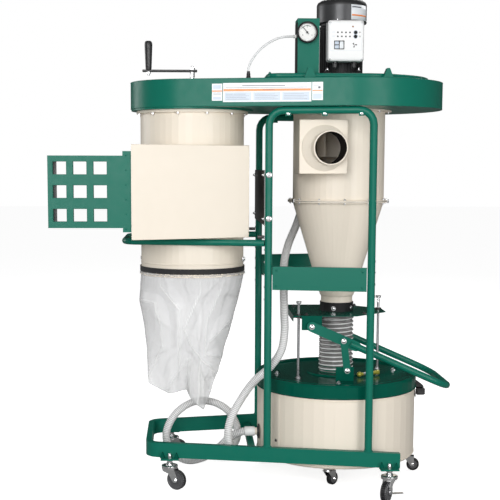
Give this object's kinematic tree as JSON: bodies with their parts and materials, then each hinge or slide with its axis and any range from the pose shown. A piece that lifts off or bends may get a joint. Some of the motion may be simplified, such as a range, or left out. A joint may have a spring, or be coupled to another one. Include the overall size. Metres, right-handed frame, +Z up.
{
  "type": "dust collector",
  "caption": "Wheeled cyclone dust collector: blower housing with motor over a cyclone and roll-out drum, beside a filter canister with exhaust box and clear dust bag.",
  "frame": {"origin": "centre of the footprint of the bounding box, on the floor under the wheels", "axes": "+Z up, +X from the filter canister towards the cyclone and drum, +Y to the back"},
  "size_m": [1.5134, 0.8916, 1.839],
  "materials": {
    "green_paint": "gloss enamel",
    "beige_paint": "satin powder coat",
    "black_paint": "satin",
    "grey_metal": "satin",
    "white_plastic": "satin",
    "black_plastic": "satin",
    "grey_plastic": "satin",
    "black_rubber": "matt",
    "chrome": "polished",
    "steel": "zinc plated",
    "aluminium": "cast",
    "clear_plastic": "clear",
    "clear_hose": "clear with wire helix",
    "clear_film": "clear film",
    "filter_media": "pleated",
    "black_strap": "webbing",
    "grey_hose": "corrugated"
  },
  "bodies": {
    "machine": {"base_frame": "green_paint", "front_upright": "green_paint", "rear_upright": "green_paint", "front_panel": "green_paint", "rear_panel": "green_paint", "push_handle": "green_paint", "blower_housing": "green_paint", "motor_plate": "green_paint", "motor_body": "black_paint", "fan_cowl": "grey_metal", "control_box": "white_plastic", "gauge_bracket": "green_paint", "gauge_body": "black_plastic", "pressure_tube": "clear_plastic", "filter_canister": "beige_paint", "filter_cartridge": "filter_media", "exhaust_box": "beige_paint", "exhaust_grille": "green_paint", "bag_band": "black_strap", "dust_bag": "clear_film", "cyclone_body": "beige_paint", "cyclone_cone": "beige_paint", "inlet_box": "beige_paint", "inlet_collar": "beige_paint", "outlet_cuff": "black_rubber", "flex_hose": "clear_hose", "lift_plate": "green_paint", "vacuum_hose": "grey_hose"},
    "crank": {"crank_shaft": "steel", "crank_arm": "black_paint"},
    "grip": {"crank_grip": "black_plastic"},
    "fan": {"impeller": "aluminium"},
    "needle": {"gauge_needle": "black_plastic"},
    "start": {"button_start": "black_rubber"},
    "stop": {"button_stop": "black_rubber"},
    "lever": {"lift_lever": "green_paint"},
    "link_f": {"link_front": "green_paint"},
    "link_r": {"link_rear": "green_paint"},
    "lid": {"drum_lid": "green_paint", "guide_rod_left": "steel", "guide_rod_right": "steel"},
    "drum": {"collection_drum": "beige_paint"},
    "latch": {"drum_latch": "black_plastic"},
    "swivel_front_right": {"caster_fork_front_right": "chrome"},
    "wheel_front_right": {"caster_wheel_front_right": "grey_plastic"},
    "swivel_front_left": {"caster_fork_front_left": "chrome"},
    "wheel_front_left": {"caster_wheel_front_left": "grey_plastic"},
    "swivel_rear_right": {"caster_fork_rear_right": "chrome"},
    "wheel_rear_right": {"caster_wheel_rear_right": "grey_plastic"},
    "swivel_rear_left": {"caster_fork_rear_left": "chrome"},
    "wheel_rear_left": {"caster_wheel_rear_left": "grey_plastic"},
    "pedal": {"brake_pedal": "chrome"},
    "drum_swivel_front": {"drum_fork_front": "chrome"},
    "drum_roller_front": {"drum_wheel_front": "black_rubber"},
    "drum_swivel_right": {"drum_fork_right": "chrome"},
    "drum_roller_right": {"drum_wheel_right": "black_rubber"},
    "drum_swivel_rear": {"drum_fork_rear": "chrome"},
    "drum_roller_rear": {"drum_wheel_rear": "black_rubber"}
  },
  "joints": [
    {"name": "crank_turn", "type": "hinge", "parent": "machine", "child": "crank", "pos_m": [-0.24425, 0, 1.5708], "axis": [0, 0, 1], "continuous": true},
    {"name": "grip_spin", "type": "hinge", "parent": "crank", "child": "grip", "pos_m": [-0.41125, 0, 1.58], "axis": [0, 0, 1], "continuous": true},
    {"name": "fan_spin", "type": "hinge", "parent": "machine", "child": "fan", "pos_m": [0.32735, 0, 1.5], "axis": [0, 0, 1], "continuous": true},
    {"name": "needle_turn", "type": "hinge", "parent": "machine", "child": "needle", "pos_m": [0.17335, -0.215, 1.697], "axis": [0, 1, 0], "range_deg": [-10, 230], "stiffness_Nm_per_rad": 0.01},
    {"name": "start_press", "type": "slide", "parent": "machine", "child": "start", "axis": [0, 1, 0], "range_m": [0, 0.0015], "stiffness_N_per_m": 500},
    {"name": "stop_press", "type": "slide", "parent": "machine", "child": "stop", "axis": [0, 1, 0], "range_m": [0, 0.0015], "stiffness_N_per_m": 500},
    {"name": "lever_lift", "type": "hinge", "parent": "machine", "child": "lever", "pos_m": [0.20635, 0, 0.61], "axis": [0, -1, 0], "range_deg": [0, 27]},
    {"name": "link_f_turn", "type": "hinge", "parent": "lever", "child": "link_f", "pos_m": [0.32735, 0, 0.556], "axis": [0, -1, 0], "range_deg": [-33.5, 0]},
    {"name": "link_r_turn", "type": "hinge", "parent": "lever", "child": "link_r", "pos_m": [0.32735, 0, 0.556], "axis": [0, -1, 0], "range_deg": [-33.5, 0]},
    {"name": "lid_rise", "type": "slide", "parent": "machine", "child": "lid", "axis": [0, 0, 1], "range_m": [0, 0.0605], "deforming": ["flex_hose"]},
    {"name": "drum_roll", "type": "slide", "parent": "machine", "child": "drum", "axis": [1, 0, 0], "range_m": [0, 0.75]},
    {"name": "latch_turn", "type": "hinge", "parent": "drum", "child": "latch", "pos_m": [0.63895, -0.02, 0.317], "axis": [0, 1, 0], "range_deg": [0, 75]},
    {"name": "swivel_front_right_turn", "type": "hinge", "parent": "machine", "child": "swivel_front_right", "pos_m": [0.47335, -0.38333, 0.1], "axis": [0, 0, 1], "continuous": true},
    {"name": "wheel_front_right_spin", "type": "hinge", "parent": "swivel_front_right", "child": "wheel_front_right", "pos_m": [0.4584, -0.40934, 0.0375], "axis": [0.867, -0.4983, 0], "continuous": true},
    {"name": "swivel_front_left_turn", "type": "hinge", "parent": "machine", "child": "swivel_front_left", "pos_m": [-0.33165, -0.22056, 0.1], "axis": [0, 0, 1], "continuous": true},
    {"name": "wheel_front_left_spin", "type": "hinge", "parent": "swivel_front_left", "child": "wheel_front_left", "pos_m": [-0.30564, -0.23551, 0.0375], "axis": [0.4983, 0.867, 0], "continuous": true},
    {"name": "swivel_rear_right_turn", "type": "hinge", "parent": "machine", "child": "swivel_rear_right", "pos_m": [0.47335, 0.38333, 0.1], "axis": [0, 0, 1], "continuous": true},
    {"name": "wheel_rear_right_spin", "type": "hinge", "parent": "swivel_rear_right", "child": "wheel_rear_right", "pos_m": [0.4584, 0.40934, 0.0375], "axis": [-0.867, -0.4983, 0], "continuous": true},
    {"name": "swivel_rear_left_turn", "type": "hinge", "parent": "machine", "child": "swivel_rear_left", "pos_m": [-0.33165, 0.22056, 0.1], "axis": [0, 0, 1], "continuous": true},
    {"name": "wheel_rear_left_spin", "type": "hinge", "parent": "swivel_rear_left", "child": "wheel_rear_left", "pos_m": [-0.30564, 0.23551, 0.0375], "axis": [-0.4983, 0.867, 0], "continuous": true},
    {"name": "drum_swivel_front_turn", "type": "hinge", "parent": "drum", "child": "drum_swivel_front", "pos_m": [0.27085, -0.202, 0.07], "axis": [0, 0, 1], "continuous": true},
    {"name": "drum_roller_front_spin", "type": "hinge", "parent": "drum_swivel_front", "child": "drum_roller_front", "pos_m": [0.29037, -0.18482, 0.025], "axis": [-0.6606, 0.7507, 0], "continuous": true},
    {"name": "drum_swivel_right_turn", "type": "hinge", "parent": "drum", "child": "drum_swivel_right", "pos_m": [0.61535, 0.01, 0.07], "axis": [0, 0, 1], "continuous": true},
    {"name": "drum_roller_right_spin", "type": "hinge", "parent": "drum_swivel_right", "child": "drum_roller_right", "pos_m": [0.64082, 0.0048, 0.025], "axis": [0.2, 0.9798, 0], "continuous": true},
    {"name": "drum_swivel_rear_turn", "type": "hinge", "parent": "drum", "child": "drum_swivel_rear", "pos_m": [0.15335, 0.19, 0.07], "axis": [0, 0, 1], "continuous": true},
    {"name": "drum_roller_rear_spin", "type": "hinge", "parent": "drum_swivel_rear", "child": "drum_roller_rear", "pos_m": [0.14162, 0.2132, 0.025], "axis": [-0.8924, -0.4512, 0], "continuous": true},
    {"name": "pedal_press", "type": "hinge", "parent": "swivel_front_right", "child": "pedal", "pos_m": [0.48167, -0.40607, 0.03], "axis": [-0.1392, 0.9903, 0], "range_deg": [0, 12], "stiffness_Nm_per_rad": 0.6}
  ],
  "couplings": [
    {"joint": "link_f_turn", "follows": "lever_lift", "ratio": -1.21},
    {"joint": "link_r_turn", "follows": "lever_lift", "ratio": -1.21},
    {"joint": "lid_rise", "follows": "lever_lift", "m_per_rad": 0.1271}
  ]
}
